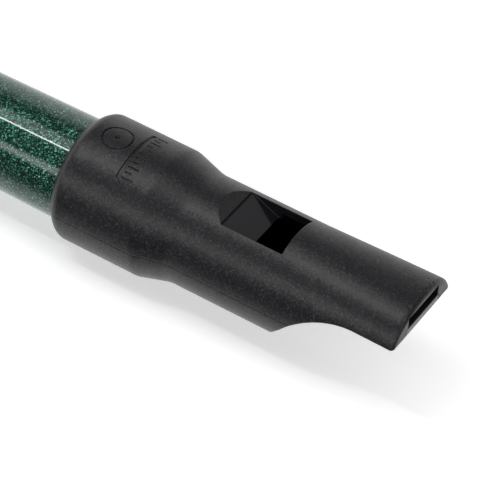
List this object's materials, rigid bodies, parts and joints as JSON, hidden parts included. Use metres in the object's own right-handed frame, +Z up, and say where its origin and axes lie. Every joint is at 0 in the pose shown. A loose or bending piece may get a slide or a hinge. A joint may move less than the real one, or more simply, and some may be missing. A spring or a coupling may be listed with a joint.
{
  "type": "tin whistle",
  "caption": "Small end-blown fipple flute: conical rolled metal tube with finger holes, and a push-fit plastic mouthpiece with a glued windway block that slides for tuning",
  "frame": {"origin": "on the whistle's axis, in the middle of the cylindrical collar", "axes": "+X along the axis towards the mouth, +Z up through the window and the finger holes, +Y across to the player's left when the whistle is played"},
  "size_m": [0.2923, 0.02, 0.02],
  "materials": {
    "painted_tin": "dark green metal-flake paint under clear lacquer, bare tinplate inside and on cut edges",
    "head_plastic": "black moulded ABS, fine spark-eroded texture, smooth on the window ramp",
    "block_plastic": "black moulded ABS, smooth windway floor"
  },
  "bodies": {
    "tube_body": {"tube": "painted_tin"},
    "head": {"mouthpiece": "head_plastic", "windway_block": "block_plastic"}
  },
  "joints": [
    {"name": "tuning_slide", "type": "slide", "parent": "tube_body", "child": "head", "axis": [1, 0, 0], "range_m": [0, 0.008]}
  ]
}
